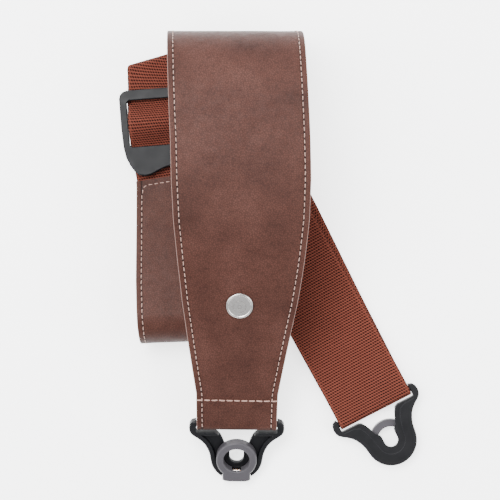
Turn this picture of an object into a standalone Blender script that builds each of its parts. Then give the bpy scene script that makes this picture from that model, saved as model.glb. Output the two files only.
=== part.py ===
"""Folded leather guitar strap with webbing, a slide adjuster and two self-locking end clips.

The strap lies folded on a flat surface at z = 0. X runs across the strap, Y along it, Z up.
Lengths below are millimetres; MM turns them into metres when the meshes are made.
"""

import math
from collections import namedtuple

import bmesh
import bpy
from mathutils import Matrix, Vector

MM = 0.001
GAP = 0.3  # clearance kept between neighbouring pieces

# Leather band
BAND_END_HALF = 25.0  # half width where the band holds a clip or the webbing
BAND_HALF = 41.25
FACE = (0.3, 1.7)  # each layer, from and to, measured outward from the band's middle surface
CORE = (-0.4, 0.2)
BACKING = (-1.7, -0.5)
BAND_TOP = FACE[1]
LEATHER_CHAMFER = 0.3
FLAP = 24.0  # length folded round clip 1's crossbar and sewn under the band
FLAP_EASES = 0.4  # the flap's end is this much narrower on each side
CORE_INSET = 1.0
FLAP_CONVERGES = 6.5  # degrees between the sewn-under flap and the band
BACKING_STARTS = 12.0  # along the front run, past the crossbar
CORE_STARTS = 13.5
TAIL_LAYERS_STOP = 23.0  # core and backing stop this far short of the tail, where webbing starts
BAND_TAPER = ((0, 25.0), (27, 25.3), (63, 30.7), (90, 34.8), (116, 37.9), (141, 40.3), (165, 41.25))
TAIL_IN_TAPER = 25.0  # the tail end is this far into the taper
FRONT_SLOPE = 23.5
TAIL_SLOPE = 17.1  # the third run falls toward its tail
WALL_R = 115.36  # the big loop's steep side

# Webbing
WEB_HALF = 25.0
WEB = (-0.75, 0.75)
WEB_CHAMFER = 0.35

# Rivet
RIVET_AT = 88.0  # along the band from the crossbar
RIVET_CAP_R = 8.2
RIVET_CAP_HIGH = 1.7
RIVET_SHANK_R = 2.0
RIVET_BACK_R = 5.5
RIVET_HOLE_MORE = 0.25
RIVET_BACK_HIGH = 1.1

# End clip, in its own frame: x across, y toward the strap, z out of the lock ring's side
BAR_R = 2.0
LOBE_DROP = 2.4  # the lobes' centre line lies this far below the crossbar
CLIP_BACK = -2.5
CLIP_FLOOR = 0.0
CLIP_RIM = 3.0
CLIP_EDGE = 0.6
RIM_WIDE = 3.1
U_CENTRE = 21.2 + LOBE_DROP
U_RADIUS = 16.4
BUTTON_HALF = 4.5
ARM_OUTSIDE = ((0, -5.3), (26.1, -5.3), (28.3, -4.5), (29.5, -2.7), (29.9, -0.3), (29.6, 2.0),
               (28.6, 4.0), (26.8, 5.6), (24.4, 7.2), (21.9, 9.3), (19.9, 11.7), (18.2, 14.9),
               (17.0, 18.4))
FUNNEL = ((25.5, -8.0), (25.5, 2.3), (24.9, 2.8), (13.9, 2.8), (11.9, 3.8), (10.2, 5.9), (8.9, 8.7),
          (8.0, 11.2), (7.2, 13.4), (6.0, 14.7), (4.8, 15.9), (BUTTON_HALF, 17.2))
BACK_STEP = ((24.8, 1.0), (24.8, 4.2), (17.9, 4.4), (14.6, 5.8), (12.4, 9.2), (11.0, 13.2),
             (9.8, 17.2))
BACK_STEP_R = 9.0
BACK_STEP_DEEP = 0.3
LIP_WIDE = 1.4
LIP_HIGH = 0.5

# Lock ring
RING_R = 12.9
RING_BORE_R = 8.25
RING_LOW = CLIP_FLOOR + GAP
RING_HIGH = 6.0
RING_BEVEL = 0.8
TAB_HALF = 8.8
TAB_END = 37.0 + LOBE_DROP
TAB_LIFTS = 25.0  # degrees the ring may tip about its pin
PIN_V = 31.0 + LOBE_DROP
PIN_Z = 1.7
PIN_R = 0.75
PIN_HOLE_R = 0.9
PIN_HALF = 11.0
SPRING_R = 1.24
SPRING_WIRE_R = 0.2
SPRING_TURNS = 3.5
SPRING_HALF = 2.1
NOTCH_HALF = 2.9
NOTCH_HIGH = 4.2

# Slide adjuster, in its own frame: origin on the centre bar, y toward the webbing's fold
SLIDER_HALF_HIGH = 2.0
SLIDER_EDGE = 0.6
SLIDER_BAR_R = 1.9
SLIDER_WINDOW = (25.6, -14.75, 14.7)  # half width, low edge, high edge
SLIDER_OUTSIDE = ((0, 21.1), (25.2, 21.1), (27.7, 20.3), (29.5, 18.5), (30.2, 16.0), (30.2, -2.6),
                  (29.6, -15.0), (28.4, -21.4), (26.2, -26.4), (23.7, -30.3), (20.8, -32.6),
                  (17.5, -33.4), (13.5, -32.8), (10.0, -31.2), (5.0, -29.1), (0, -27.9))

# Where the pieces sit
CLIP_1_BAR = Vector((-8.3, -109.0, 17.9))
CLIP_1_TILT = 23.3
CLIP_1_TURN = -0.6
SLIDER_AT = Vector((-51.2, 81.3, 13.4))
SLIDER_TURN = 4.5
FOLD_TURN = -9.0  # how far the webbing turns in its plane between the slider and the fold
FOLD_SKEW = 20.8  # angle between the webbing's crosswise line and its fold
FOLD_AT = 39.7  # the fold's distance from the slider's centre bar
RUN_LEVEL = 4.7  # middle of the lower diagonal layer above the surface
RUN_STARTS = 11.0  # the lower layer's end, this far from the slider's centre bar
RUN_LEAVES = 10.0  # left free at the lower layer's end for the slide adjuster's travel
RUN_SQUARE = 11.5  # the lower layer's first stretch, before its lines slant toward the fold
RETURN_STOPS = 26.0  # the upper layer's end, this far from the slider's centre bar
OUT_SWINGS = -1.405  # how far the lower layer turns in its own plane, there and back
OUT_STRAIGHT = 3.194
OUT_EASES = 1.0
OUT_RETURNS = 9.495
BACK_SWINGS = 2.216
BACK_STRAIGHT = 20.104
BACK_EASES = 1.7
BACK_RETURNS = -5.989
RETURN_TURN = FOLD_TURN * (FOLD_AT - RETURN_STOPS) / (FOLD_AT - RUN_STARTS)
WEB_UNDER = -SLIDER_HALF_HIGH - GAP + WEB[0]  # level of webbing under the slider's bars
WEB_PITCH = 1.8  # from one layer's middle to the next
HUMP_LOW = WEB_UNDER + 2.1
HUMP_HIGH = 4.75
HUMP_HALF = 13.6
TAIL_SEWN = 22.0  # length of webbing sewn under the leather's tail
TAIL_LEVEL = -0.75
TAIL_STOPS = -12.5

Leg = namedtuple("Leg", "length bend skew skew_end veer")
Station = namedtuple("Station", "at along across out ruling skew run")


def leg(length, bend=0.0, skew=0.0, skew_end=None, veer=0.0):
    """A stretch of strap: its length, how far it bends, the slant of its fold lines and its turn."""
    return Leg(length, bend, skew, skew if skew_end is None else skew_end, veer)


def arc(radius, bend, skew=0.0):
    """A bend of that radius; a negative bend turns toward the outer face."""
    return leg(radius * math.radians(abs(bend)) / math.cos(math.radians(skew)), bend, skew)


def walk(at, heading, pitch, legs):
    """Follows the legs and returns the stations along the strap's middle line."""
    turn, rise = math.radians(heading), math.radians(pitch)
    across = Vector((math.cos(turn), math.sin(turn), 0))
    flat = Vector((-math.sin(turn), math.cos(turn), 0))
    along = flat * math.cos(rise) + Vector((0, 0, 1)) * math.sin(rise)
    at, run, found = Vector(at), 0.0, []
    for number, step in enumerate(legs):
        parts = max(1, math.ceil(abs(step.bend) / 11), math.ceil(abs(step.veer) / 1.5),
                    math.ceil(abs(step.skew_end - step.skew) / 2))
        for part in range(parts + 1):
            skew = math.radians(step.skew + (step.skew_end - step.skew) * part / parts)
            ruling = across * math.cos(skew) + along * math.sin(skew)
            if part or not number:
                found.append(Station(at.copy(), along.copy(), across.copy(), across.cross(along),
                                     ruling.copy(), skew, run))
            if part < parts:
                half = Matrix.Rotation(math.radians(-step.bend / parts / 2), 3, ruling)
                half = Matrix.Rotation(math.radians(step.veer / parts / 2), 3,
                                       across.cross(along)) @ half
                along, across = half @ along, half @ across
                at = at + along * (step.length / parts)
                run += step.length / parts
                along, across = half @ along, half @ across
    return found


def moved(stations, shift):
    return [s._replace(at=s.at + shift) for s in stations]


def piece(stations, start, stop):
    """The stations between two distances along the strap, with new ones at its ends."""
    found = [s for s in stations if start + 0.2 < s.run < stop - 0.2]
    return [between(stations, start)] + found + [between(stations, stop)]


def between(stations, run):
    """The station at a distance along the strap."""
    for a, b in zip(stations, stations[1:]):
        if a.run <= run <= b.run and b.run > a.run:
            part = (run - a.run) / (b.run - a.run)
            mixed = [x.lerp(y, part) for x, y in zip(a[:5], b[:5])]
            mixed[1:] = [v.normalized() for v in mixed[1:]]
            return Station(*mixed, a.skew + (b.skew - a.skew) * part, run)
    return stations[-1] if run > stations[0].run else stations[0]


def taper(distance):
    """The band's half width at a distance from its nearer end."""
    for (a, low), (b, high) in zip(BAND_TAPER, BAND_TAPER[1:]):
        if distance <= b:
            return low + (high - low) * max(0.0, distance - a) / (b - a)
    return BAND_HALF


def strip(name, stations, layer, half, chamfer, material):
    """A closed strip that follows the stations; half gives each side's half width at a distance."""
    mesh, rings = bmesh.new(), []
    low, high = layer
    cut = min(chamfer, (high - low) / 3)
    for s in stations:
        lean = math.tan(s.skew)
        wide = half(s.run)
        left, right = half(s.run - wide * lean), half(s.run + wide * lean)
        stretch = 1 / math.cos(s.skew)
        ring = []
        for side, level in ((-left + cut, low), (right - cut, low), (right, low + cut),
                            (right, high - cut), (right - cut, high), (-left + cut, high),
                            (-left, high - cut), (-left, low + cut)):
            ring.append(mesh.verts.new((s.at + s.ruling * side * stretch + s.out * level) * MM))
        rings.append(ring)
    for a, b in zip(rings, rings[1:]):
        for i in range(len(a)):
            j = (i + 1) % len(a)
            mesh.faces.new((a[i], a[j], b[j], b[i]))
    mesh.faces.new(rings[0])
    mesh.faces.new(rings[-1])
    return finish(name, mesh, material)


def finish(name, mesh, material):
    """Turns a bmesh into a named object whose faces point outward."""
    bmesh.ops.recalc_face_normals(mesh, faces=mesh.faces)
    data = bpy.data.meshes.new(name)
    mesh.to_mesh(data)
    mesh.free()
    made = bpy.data.objects.new(name, data)
    bpy.context.scene.collection.objects.link(made)
    if material:
        data.materials.append(material)
    return made


def colour(name, rgb, rough, metal=0.0):
    made = bpy.data.materials.new(name)
    made.use_nodes = True
    shader = made.node_tree.nodes["Principled BSDF"]
    shader.inputs["Base Color"].default_value = (*rgb, 1)
    shader.inputs["Roughness"].default_value = rough
    shader.inputs["Metallic"].default_value = metal
    return made


def inset(outline, by):
    """The outline (counter-clockwise) moved inward by that much."""
    count, found = len(outline), []
    for i, here in enumerate(outline):
        before, after = outline[i - 1], outline[(i + 1) % count]
        a = Vector((here[0] - before[0], here[1] - before[1])).normalized()
        b = Vector((after[0] - here[0], after[1] - here[1])).normalized()
        normal = Vector((-a.y, a.x)) + Vector((-b.y, b.x))
        scale = 2 / max(normal.length_squared, 1.0)
        found.append((here[0] + normal.x * scale * by, here[1] + normal.y * scale * by))
    return found


def layered(name, outline, levels, material=None):
    """A closed body made of copies of one outline: each level is a height and an inset."""
    mesh, rings = bmesh.new(), []
    for height, by in levels:
        ring = [mesh.verts.new(Vector((x, y, height)) * MM) for x, y in inset(outline, by)]
        rings.append(ring)
    for a, b in zip(rings, rings[1:]):
        for i in range(len(a)):
            j = (i + 1) % len(a)
            mesh.faces.new((a[i], a[j], b[j], b[i]))
    mesh.faces.new(rings[0])
    mesh.faces.new(rings[-1])
    return finish(name, mesh, material)


def circle(x, y, radius, sides, start=0.0):
    turn = 2 * math.pi / sides
    return [(x + radius * math.cos(start + i * turn), y + radius * math.sin(start + i * turn))
            for i in range(sides)]


def rod(name, radius, half, at, sides, material=None):
    """A rod along X, centred at a point."""
    made = layered(name, circle(0, 0, radius, sides), ((-half, 0), (half, 0)), material)
    turn = Matrix.Translation(Vector(at) * MM) @ Matrix.Rotation(math.pi / 2, 4, "Y")
    made.data.transform(turn)
    return made


def box(name, low, high):
    outline = [(low[0], low[1]), (high[0], low[1]), (high[0], high[1]), (low[0], high[1])]
    return layered(name, outline, ((low[2], 0), (high[2], 0)))


def carve(body, tool, how="DIFFERENCE"):
    """Applies one Boolean and removes its tool."""
    change = body.modifiers.new("carve", "BOOLEAN")
    change.operation, change.object, change.solver = how, tool, "EXACT"
    done = bpy.data.meshes.new_from_object(
        body.evaluated_get(bpy.context.evaluated_depsgraph_get()))
    body.modifiers.clear()
    old = body.data
    body.data = done
    done.name = body.name
    bpy.data.meshes.remove(old)
    bpy.data.objects.remove(tool)


def tidy(body):
    """Merges doubled points that a Boolean left, and makes the faces triangles."""
    mesh = bmesh.new()
    mesh.from_mesh(body.data)
    bmesh.ops.remove_doubles(mesh, verts=mesh.verts, dist=0.000002)
    bmesh.ops.dissolve_degenerate(mesh, edges=mesh.edges, dist=0.000002)
    bmesh.ops.triangulate(mesh, faces=mesh.faces)
    bmesh.ops.recalc_face_normals(mesh, faces=mesh.faces)
    mesh.to_mesh(body.data)
    mesh.free()


def mirrored(right_side):
    """A whole outline, counter-clockwise, from its right side given from top to bottom."""
    left_side = [(-x, y) for x, y in right_side if x > 0]
    return left_side + right_side[::-1]


def clip_curve(points):
    """Points given as (half width, depth below the lobes) in the clip's frame."""
    return [(x, -(depth + LOBE_DROP)) for x, depth in points]


def clip_arc(radius, first, last, steps):
    """Points on a circle round the button slot's end; angles from straight down."""
    angles = [math.radians(first + (last - first) * i / steps) for i in range(steps + 1)]
    return [(radius * math.sin(a), -U_CENTRE - radius * math.cos(a)) for a in angles]


def clip_frame(name, material):
    """The wishbone: arms with a raised rim, a crossbar, and one window that ends in a slot."""
    outside = mirrored(clip_curve(ARM_OUTSIDE)[1:] + clip_arc(U_RADIUS, 84, 0, 10)[:-1]
                       + [(0, -U_CENTRE - U_RADIUS)])
    body = layered(name, outside, ((CLIP_BACK, CLIP_EDGE), (CLIP_BACK + CLIP_EDGE, 0),
                                   (CLIP_RIM - CLIP_EDGE, 0), (CLIP_RIM, CLIP_EDGE)), material)
    lobes_low = -LOBE_DROP - 3.4
    recess = [(x, y) for x, y in inset(outside, RIM_WIDE) if y < lobes_low]
    carve(body, layered("cut", recess, ((CLIP_FLOOR, 0.3), (CLIP_RIM + 1, -0.4))))
    step = mirrored(clip_curve(BACK_STEP) + clip_arc(BACK_STEP_R, 76, 0, 7)[:-1]
                    + [(0, -U_CENTRE - BACK_STEP_R)])
    carve(body, layered("cut", step, ((CLIP_BACK - 1, 0), (CLIP_BACK + BACK_STEP_DEEP, 0))))
    lip_r = BUTTON_HALF + LIP_WIDE
    carve(body, layered("lip", circle(0, -U_CENTRE, lip_r, 28),
                        ((CLIP_FLOOR - 1, 0), (CLIP_FLOOR + LIP_HIGH, 0.2))), "UNION")
    window = mirrored(clip_curve(FUNNEL) + clip_arc(BUTTON_HALF, 82, 0, 6)[:-1]
                      + [(0, -U_CENTRE - BUTTON_HALF)])
    carve(body, layered("cut", window, ((CLIP_BACK - 1, -0.9), (CLIP_BACK + 0.4, 0),
                                        (CLIP_RIM + 1, 0))))
    seat_half = TAB_HALF + 0.35
    carve(body, box("cut", (-seat_half, -U_CENTRE - U_RADIUS - 2, CLIP_FLOOR - 0.1),
                    (seat_half, -U_CENTRE - 7.5, CLIP_RIM + 1)))
    carve(body, rod("cut", PIN_HOLE_R, PIN_HALF + 0.3, (0, -PIN_V, PIN_Z), 12))
    carve(body, rod("bar", BAR_R, 26.6, (0, 0, 0), 16), "UNION")
    tidy(body)
    return body


def lock_ring(name, material):
    """The ring that closes round the strap button, with its release tab."""
    tab = [(TAB_HALF, -TAB_END + 1.6), (TAB_HALF - 1.2, -TAB_END + 0.7), (5.0, -TAB_END + 0.15)]
    side = [(x, y) for x, y in clip_arc(RING_R, 180, 43, 16)][1:]
    outside = mirrored([(0, -U_CENTRE + RING_R)] + side + tab)
    body = layered(name, outside, ((RING_LOW, 0), (RING_HIGH - RING_BEVEL, 0),
                                   (RING_HIGH, RING_BEVEL)), material)
    carve(body, layered("cut", circle(0, -U_CENTRE, RING_BORE_R, 40),
                        ((RING_LOW - 1, 0), (RING_HIGH - 0.5, 0), (RING_HIGH + 0.5, -1.0))))
    slope = math.tan(math.radians(TAB_LIFTS))
    wedge = [(-PIN_V - 0.9, RING_LOW), (-PIN_V - 9.0, RING_LOW + 8.1 * slope),
             (-PIN_V - 9.0, RING_LOW - 1.0), (-PIN_V - 0.9, RING_LOW - 1.0)]
    tool = layered("cut", wedge, ((-TAB_HALF - 1, 0), (TAB_HALF + 1, 0)))
    tool.data.transform(Matrix(((0, 0, 1, 0), (1, 0, 0, 0), (0, 1, 0, 0), (0, 0, 0, 1))))
    carve(body, tool)
    carve(body, rod("cut", PIN_HOLE_R, TAB_HALF + 4, (0, -PIN_V, PIN_Z), 12))
    carve(body, box("cut", (-NOTCH_HALF, -PIN_V - 4.2, RING_LOW - 1),
                    (NOTCH_HALF, -PIN_V + 2.6, NOTCH_HIGH)))
    tidy(body)
    return body


def spring(name, material):
    """A small torsion spring round the pin, with one leg on the frame and one under the tab."""
    line = [(-SPRING_HALF, -PIN_V - 3.4, PIN_Z - SPRING_R)]
    count = int(SPRING_TURNS * 12)
    for i in range(count + 1):
        turn = 2 * math.pi * SPRING_TURNS * i / count
        line.append((-SPRING_HALF + 2 * SPRING_HALF * i / count,
                     -PIN_V + SPRING_R * math.sin(turn), PIN_Z - SPRING_R * math.cos(turn)))
    line.append((SPRING_HALF, -PIN_V - 1.2, PIN_Z + SPRING_R))
    return tube(name, line, SPRING_WIRE_R, 6, material)


def tube(name, line, radius, sides, material):
    """A closed round tube along a line of points."""
    points = [Vector(p) for p in line]
    mesh, rings = bmesh.new(), []
    for i, p in enumerate(points):
        along = (points[min(i + 1, len(points) - 1)] - points[max(i - 1, 0)]).normalized()
        side = Vector((1, 0, 0)) - along * along.x
        side.normalize()
        up = along.cross(side)
        ring = [mesh.verts.new((p + side * x + up * y) * MM)
                for x, y in circle(0, 0, radius, sides)]
        rings.append(ring)
    for a, b in zip(rings, rings[1:]):
        for i in range(sides):
            j = (i + 1) % sides
            mesh.faces.new((a[i], a[j], b[j], b[i]))
    mesh.faces.new(rings[0])
    mesh.faces.new(rings[-1])
    return finish(name, mesh, material)


def pose(made, place, pivot=None):
    """Moves a piece from its own frame to its place; its origin goes to the pivot."""
    made.data.transform(place)
    if pivot is not None:
        made.data.transform(Matrix.Translation(-pivot))
        made.location = pivot
    return made


def clip(prefix, place, paint):
    """One end clip at its place: frame, lock ring, pin and spring."""
    bar = place @ Vector((0, 0, 0))
    pin = place @ (Vector((0, -PIN_V, PIN_Z)) * MM)
    pose(clip_frame(prefix + "_frame", paint["clip"]), place, bar)
    pose(lock_ring(prefix + "_lock_ring", paint["ring"]), place, pin)
    pose(rod(prefix + "_pin", PIN_R, PIN_HALF, (0, -PIN_V, PIN_Z), 12, paint["steel"]), place)
    pose(spring(prefix + "_spring", paint["spring"]), place)


def slider_frame(name, material):
    """The slide adjuster: a frame with a round centre bar and a lower plate with two lobes."""
    outside = mirrored(list(SLIDER_OUTSIDE))
    high = SLIDER_HALF_HIGH
    body = layered(name, outside, ((-high, SLIDER_EDGE), (-high + SLIDER_EDGE, 0),
                                   (high - SLIDER_EDGE, 0), (high, SLIDER_EDGE)), material)
    wide, low, top = SLIDER_WINDOW
    round_by = 1.6
    window = [(-wide, top - round_by), (-wide, low + round_by), (-wide + round_by, low),
              (wide - round_by, low), (wide, low + round_by), (wide, top - round_by),
              (wide - round_by, top), (-wide + round_by, top)]
    carve(body, layered("cut", window, ((-high - 1, -1.4), (-high + 0.4, 0), (high - 0.4, 0),
                                        (high + 1, -1.4))))
    carve(body, rod("bar", SLIDER_BAR_R, wide + 1.5, (0, 0, 0), 16), "UNION")
    tidy(body)
    return body


def placed(at, toward_strap, across):
    """The placing matrix of a piece from its own frame's Y and X directions."""
    y, x = Vector(toward_strap).normalized(), Vector(across).normalized()
    made = Matrix((x, y, x.cross(y))).transposed().to_4x4()
    made.translation = Vector(at) * MM
    return made


def make_slider(paint):
    up = turned(SLIDER_TURN)
    pose(slider_frame("slider_frame", paint["clip"]), placed(SLIDER_AT, up, (up.y, -up.x, 0)))


def leather_path():
    """The band's middle line, from its sewn-under flap to its tail, and where the bar's bend is."""
    bar_bend = 180 + FLAP_CONVERGES
    bar_radius = BAR_R + GAP
    top_skew, low_skew = -2.7, -7.4  # the slants of the upper and the lower folds
    legs = [
        leg(FLAP),
        arc(bar_radius, bar_bend),
        leg(86.0, veer=-1.7),
        leg(97.0, bend=FRONT_SLOPE, veer=3.9),
        leg(10.0, skew_end=top_skew, veer=1.0),
        arc(100.0, 25, top_skew),
        arc(28.0, 50, top_skew),
        arc(WALL_R, 20, top_skew),
        arc(5.0, 85, top_skew),
        leg(50.0, skew=top_skew, veer=2.459),
        leg(79.561, skew=top_skew, skew_end=low_skew),
        leg(40.0, skew=low_skew, veer=-0.096),
        arc(15.8, 180 + TAIL_SLOPE, low_skew),
        leg(40.0, skew=low_skew, skew_end=0),
        leg(27.0),
        leg(20.0, bend=2.0 - TAIL_SLOPE),
    ]
    found = walk((0, 0, 0), CLIP_1_TURN, FRONT_SLOPE + bar_bend, legs)
    bend_start = between(found, FLAP)
    centre = bend_start.at - bend_start.out * bar_radius
    return moved(found, CLIP_1_BAR - centre)


def band_half(bar_middle, total):
    """Half width of the band at a distance along its path."""
    def at(run):
        if run < bar_middle:
            return BAND_END_HALF - FLAP_EASES * min(1.0, (bar_middle - run) / 10)
        return min(taper(run - bar_middle), taper(total - run + TAIL_IN_TAPER))
    return at


def make_leather(paint):
    path = leather_path()
    total = path[-1].run
    bar_middle = FLAP + (BAR_R + GAP) * math.radians(180 + FLAP_CONVERGES) / 2
    half = band_half(bar_middle, total)
    after_bar = bar_middle + 4.0
    inner_stops = total - TAIL_LAYERS_STOP
    face = strip("leather_face", path, FACE, half, LEATHER_CHAMFER, paint["leather"])
    core = strip("leather_core", piece(path, after_bar + CORE_STARTS, inner_stops), CORE,
                 lambda run: half(run) - CORE_INSET, 0.1, paint["core"])
    backing = strip("leather_backing", piece(path, after_bar + BACKING_STARTS, inner_stops),
                    BACKING, half, LEATHER_CHAMFER, paint["backing"])
    spot = between(path, bar_middle + RIVET_AT)
    place = Matrix((spot.across, spot.along, spot.out)).transposed().to_4x4()
    place.translation = spot.at * MM
    for layer in (face, core, backing):
        hole = layered("cut", circle(0, 0, RIVET_SHANK_R + RIVET_HOLE_MORE, 16), ((-6, 0), (6, 0)))
        carve(layer, pose(hole, place))
        tidy(layer)
    make_rivet(place, paint)
    return path


def make_rivet(place, paint):
    top, seat = BAND_TOP + 0.1, BACKING[0] - 0.1
    shank = layered("rivet_cap", circle(0, 0, RIVET_CAP_R, 40),
                    ((top, 0.5), (top + 0.4, 0), (top + 0.9, 0), (top + 1.3, 0.5),
                     (top + RIVET_CAP_HIGH, 1.4)), paint["nickel"])
    carve(shank, layered("shank", circle(0, 0, RIVET_SHANK_R, 16), ((seat - 0.3, 0), (top + 1, 0))),
          "UNION")
    tidy(shank)
    pose(shank, place)
    back = layered("rivet_back", circle(0, 0, RIVET_BACK_R, 28),
                   ((seat - 0.5 - RIVET_BACK_HIGH, 0.8), (seat - 1.0, 0), (seat - 0.5, 0)),
                   paint["nickel"])
    pose(back, place)


def webbing_run_path():
    """Webbing from the slider's high bar, over the fold, down to clip 2, and back to the fold."""
    up = turned(SLIDER_TURN)
    start = SLIDER_AT + up * RUN_STARTS + Vector((0, 0, WEB_UNDER))
    outer = (SLIDER_AT.z + WEB_UNDER - RUN_LEVEL) / 2
    inner = outer - WEB_PITCH
    bar = BAR_R + GAP + WEB[1]
    legs = [
        leg(RUN_SQUARE, veer=FOLD_TURN * RUN_SQUARE / (FOLD_AT - RUN_STARTS)),
        leg(FOLD_AT - RUN_STARTS - RUN_SQUARE, skew_end=FOLD_SKEW,
            veer=FOLD_TURN * (1 - RUN_SQUARE / (FOLD_AT - RUN_STARTS))),
        arc(outer, 180, FOLD_SKEW),
        leg(48.0, skew=FOLD_SKEW, skew_end=0, veer=-OUT_SWINGS),
        leg(OUT_STRAIGHT),
        leg(80.0, veer=OUT_RETURNS),
        leg(45.0),
        leg(30.0, veer=-OUT_EASES),
        leg(10.0, bend=-3.0),
        leg(22.0),
        leg(10.0, bend=3.0),
        leg(8.0),
        arc(bar, 184.5),
        leg(22.0, veer=BACK_EASES),
        leg(22.0, bend=-4.5),
        leg(82.0),
        leg(50.0, veer=BACK_SWINGS),
        leg(BACK_STRAIGHT),
        leg(60.0, skew_end=-FOLD_SKEW, veer=-BACK_RETURNS),
        arc(inner, -180, -FOLD_SKEW),
        leg(FOLD_AT - RETURN_STOPS, skew=-FOLD_SKEW, skew_end=0, veer=RETURN_TURN),
    ]
    return walk(start, SLIDER_TURN, 0, legs)


def turned(heading):
    """The level direction that many degrees round from Y."""
    angle = math.radians(heading)
    return Vector((-math.sin(angle), math.cos(angle), 0))


def make_webbing(leather, paint):
    """The webbing's four pieces; two of them travel with the slider."""
    up = turned(SLIDER_TURN)
    across = Vector((up.y, -up.x, 0))
    tail = leather[-1]
    start = tail.at - tail.along * TAIL_SEWN + tail.out * TAIL_LEVEL
    end = SLIDER_AT + up * TAIL_STOPS + Vector((0, 0, WEB_UNDER - 0.25))
    line = [start, start + tail.along * (TAIL_SEWN + 4.0), end - up * 9.0, end]
    half = web_half(0.0)
    strip("webbing_tail", line_strip(line, tail.across, across), WEB, web_half(0.8), WEB_CHAMFER,
          paint["web"])
    run = webbing_run_path()
    strip("webbing_run", piece(run, RUN_LEAVES, run[-1].run), WEB, half, WEB_CHAMFER, paint["web"])
    hump = [SLIDER_AT + up * y + Vector((0, 0, HUMP_LOW + (HUMP_HIGH - HUMP_LOW)
                                         * math.cos(math.pi * y / HUMP_HALF / 2.06) ** 2))
            for y in [HUMP_HALF * i / 9 for i in range(-9, 10)]]
    strip("webbing_hump", line_strip(hump, across, across), WEB, half, WEB_CHAMFER, paint["web"])
    make_bar_loop(up, paint)
    return run


def make_bar_loop(up, paint):
    """The sewn loop that holds the webbing's end round the slider's centre bar."""
    radius = SLIDER_BAR_R + 0.25 + WEB[1]
    tail_level = WEB_UNDER - WEB_PITCH
    dip = math.degrees(math.atan2(-tail_level - radius, 7.0))
    legs = [
        leg(2.0),
        leg(2.0, bend=dip),
        leg(5.0),
        leg(2.0, bend=-dip),
        arc(radius, 250),
    ]
    found = walk((0, 0, 0), SLIDER_TURN, 180, legs)
    bend_start = between(found, sum(step.length for step in legs[:-1]))
    centre = bend_start.at - bend_start.out * radius
    strip("webbing_bar_loop", moved(found, SLIDER_AT - centre), WEB, web_half(0.6), WEB_CHAMFER,
          paint["web"])


def web_half(less):
    return lambda run: WEB_HALF - less


def line_strip(points, first, last):
    """Stations along a line of points; the crosswise direction goes from first to last."""
    found, run = [], 0.0
    for i, p in enumerate(points):
        before, after = points[max(i - 1, 0)], points[min(i + 1, len(points) - 1)]
        along = (after - before).normalized()
        across = first.lerp(last, i / (len(points) - 1))
        side = (across - along * across.dot(along)).normalized()
        if i:
            run += (p - points[i - 1]).length
        found.append(Station(p, along, side, side.cross(along), side, 0.0, run))
    return found


def stand_on_origin():
    """Moves every piece so that the whole stands on z = 0, centred on the origin."""
    bpy.context.view_layer.update()
    points = [made.matrix_world @ v.co for made in bpy.data.objects for v in made.data.vertices]
    low = Vector([min(p[i] for p in points) for i in range(3)])
    high = Vector([max(p[i] for p in points) for i in range(3)])
    shift = Vector(((low.x + high.x) / 2, (low.y + high.y) / 2, low.z))
    for made in bpy.data.objects:
        if made.location.length:
            made.location -= shift
        else:
            made.data.transform(Matrix.Translation(-shift))


def main():
    for made in list(bpy.data.objects):
        bpy.data.objects.remove(made)
    paint = {
        "leather": colour("brown_leather", (0.16, 0.075, 0.055), 0.5),
        "core": colour("core_felt", (0.05, 0.03, 0.025), 0.9),
        "backing": colour("brown_suede", (0.12, 0.06, 0.045), 0.85),
        "web": colour("rust_webbing", (0.30, 0.085, 0.05), 0.9),
        "clip": colour("black_plastic", (0.035, 0.035, 0.04), 0.45),
        "ring": colour("grey_plastic", (0.14, 0.135, 0.15), 0.45),
        "steel": colour("pin_steel", (0.5, 0.5, 0.5), 0.3, 1.0),
        "spring": colour("spring_bronze", (0.45, 0.22, 0.12), 0.35, 1.0),
        "nickel": colour("nickel", (0.6, 0.58, 0.55), 0.25, 1.0),
    }
    leather = make_leather(paint)
    run = make_webbing(leather, paint)
    make_slider(paint)
    tilt = math.radians(CLIP_1_TILT)
    level = turned(CLIP_1_TURN)
    toward = level * math.cos(tilt) + Vector((0, 0, math.sin(tilt)))
    clip("clip_1", placed(CLIP_1_BAR, toward, (level.y, -level.x, 0)), paint)
    bar_bend = next(s for s in run if s.along.z > 0.99 and s.at.y < 0)
    bar = bar_bend.at - bar_bend.out * (BAR_R + GAP + WEB[1])
    toward = Vector((0, 0, 1)).cross(bar_bend.across).normalized()
    bar.z = RING_HIGH
    clip("clip_2", placed(bar, toward, -bar_bend.across), paint)
    stand_on_origin()


main()
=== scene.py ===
import math
import random
from collections import namedtuple

import bmesh
import bpy
from mathutils import Matrix, Vector, noise


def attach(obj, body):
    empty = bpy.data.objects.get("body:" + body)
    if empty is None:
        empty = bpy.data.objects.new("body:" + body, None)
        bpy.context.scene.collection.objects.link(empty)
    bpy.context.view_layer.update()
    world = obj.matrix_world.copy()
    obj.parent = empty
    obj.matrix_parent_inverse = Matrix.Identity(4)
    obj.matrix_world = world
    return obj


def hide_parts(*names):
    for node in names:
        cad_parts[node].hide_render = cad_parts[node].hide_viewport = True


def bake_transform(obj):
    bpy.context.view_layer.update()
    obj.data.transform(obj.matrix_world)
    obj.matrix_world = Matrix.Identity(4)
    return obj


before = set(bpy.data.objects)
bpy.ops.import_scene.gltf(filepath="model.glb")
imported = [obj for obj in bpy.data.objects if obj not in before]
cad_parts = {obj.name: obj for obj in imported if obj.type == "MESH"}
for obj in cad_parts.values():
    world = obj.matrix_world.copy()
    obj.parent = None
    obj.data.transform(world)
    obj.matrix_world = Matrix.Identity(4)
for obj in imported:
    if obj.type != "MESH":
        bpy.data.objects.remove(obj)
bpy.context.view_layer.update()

# Lengths are millimetres, as in the CAD source; MM turns them into metres when a mesh is made.
MM = 0.001
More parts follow.
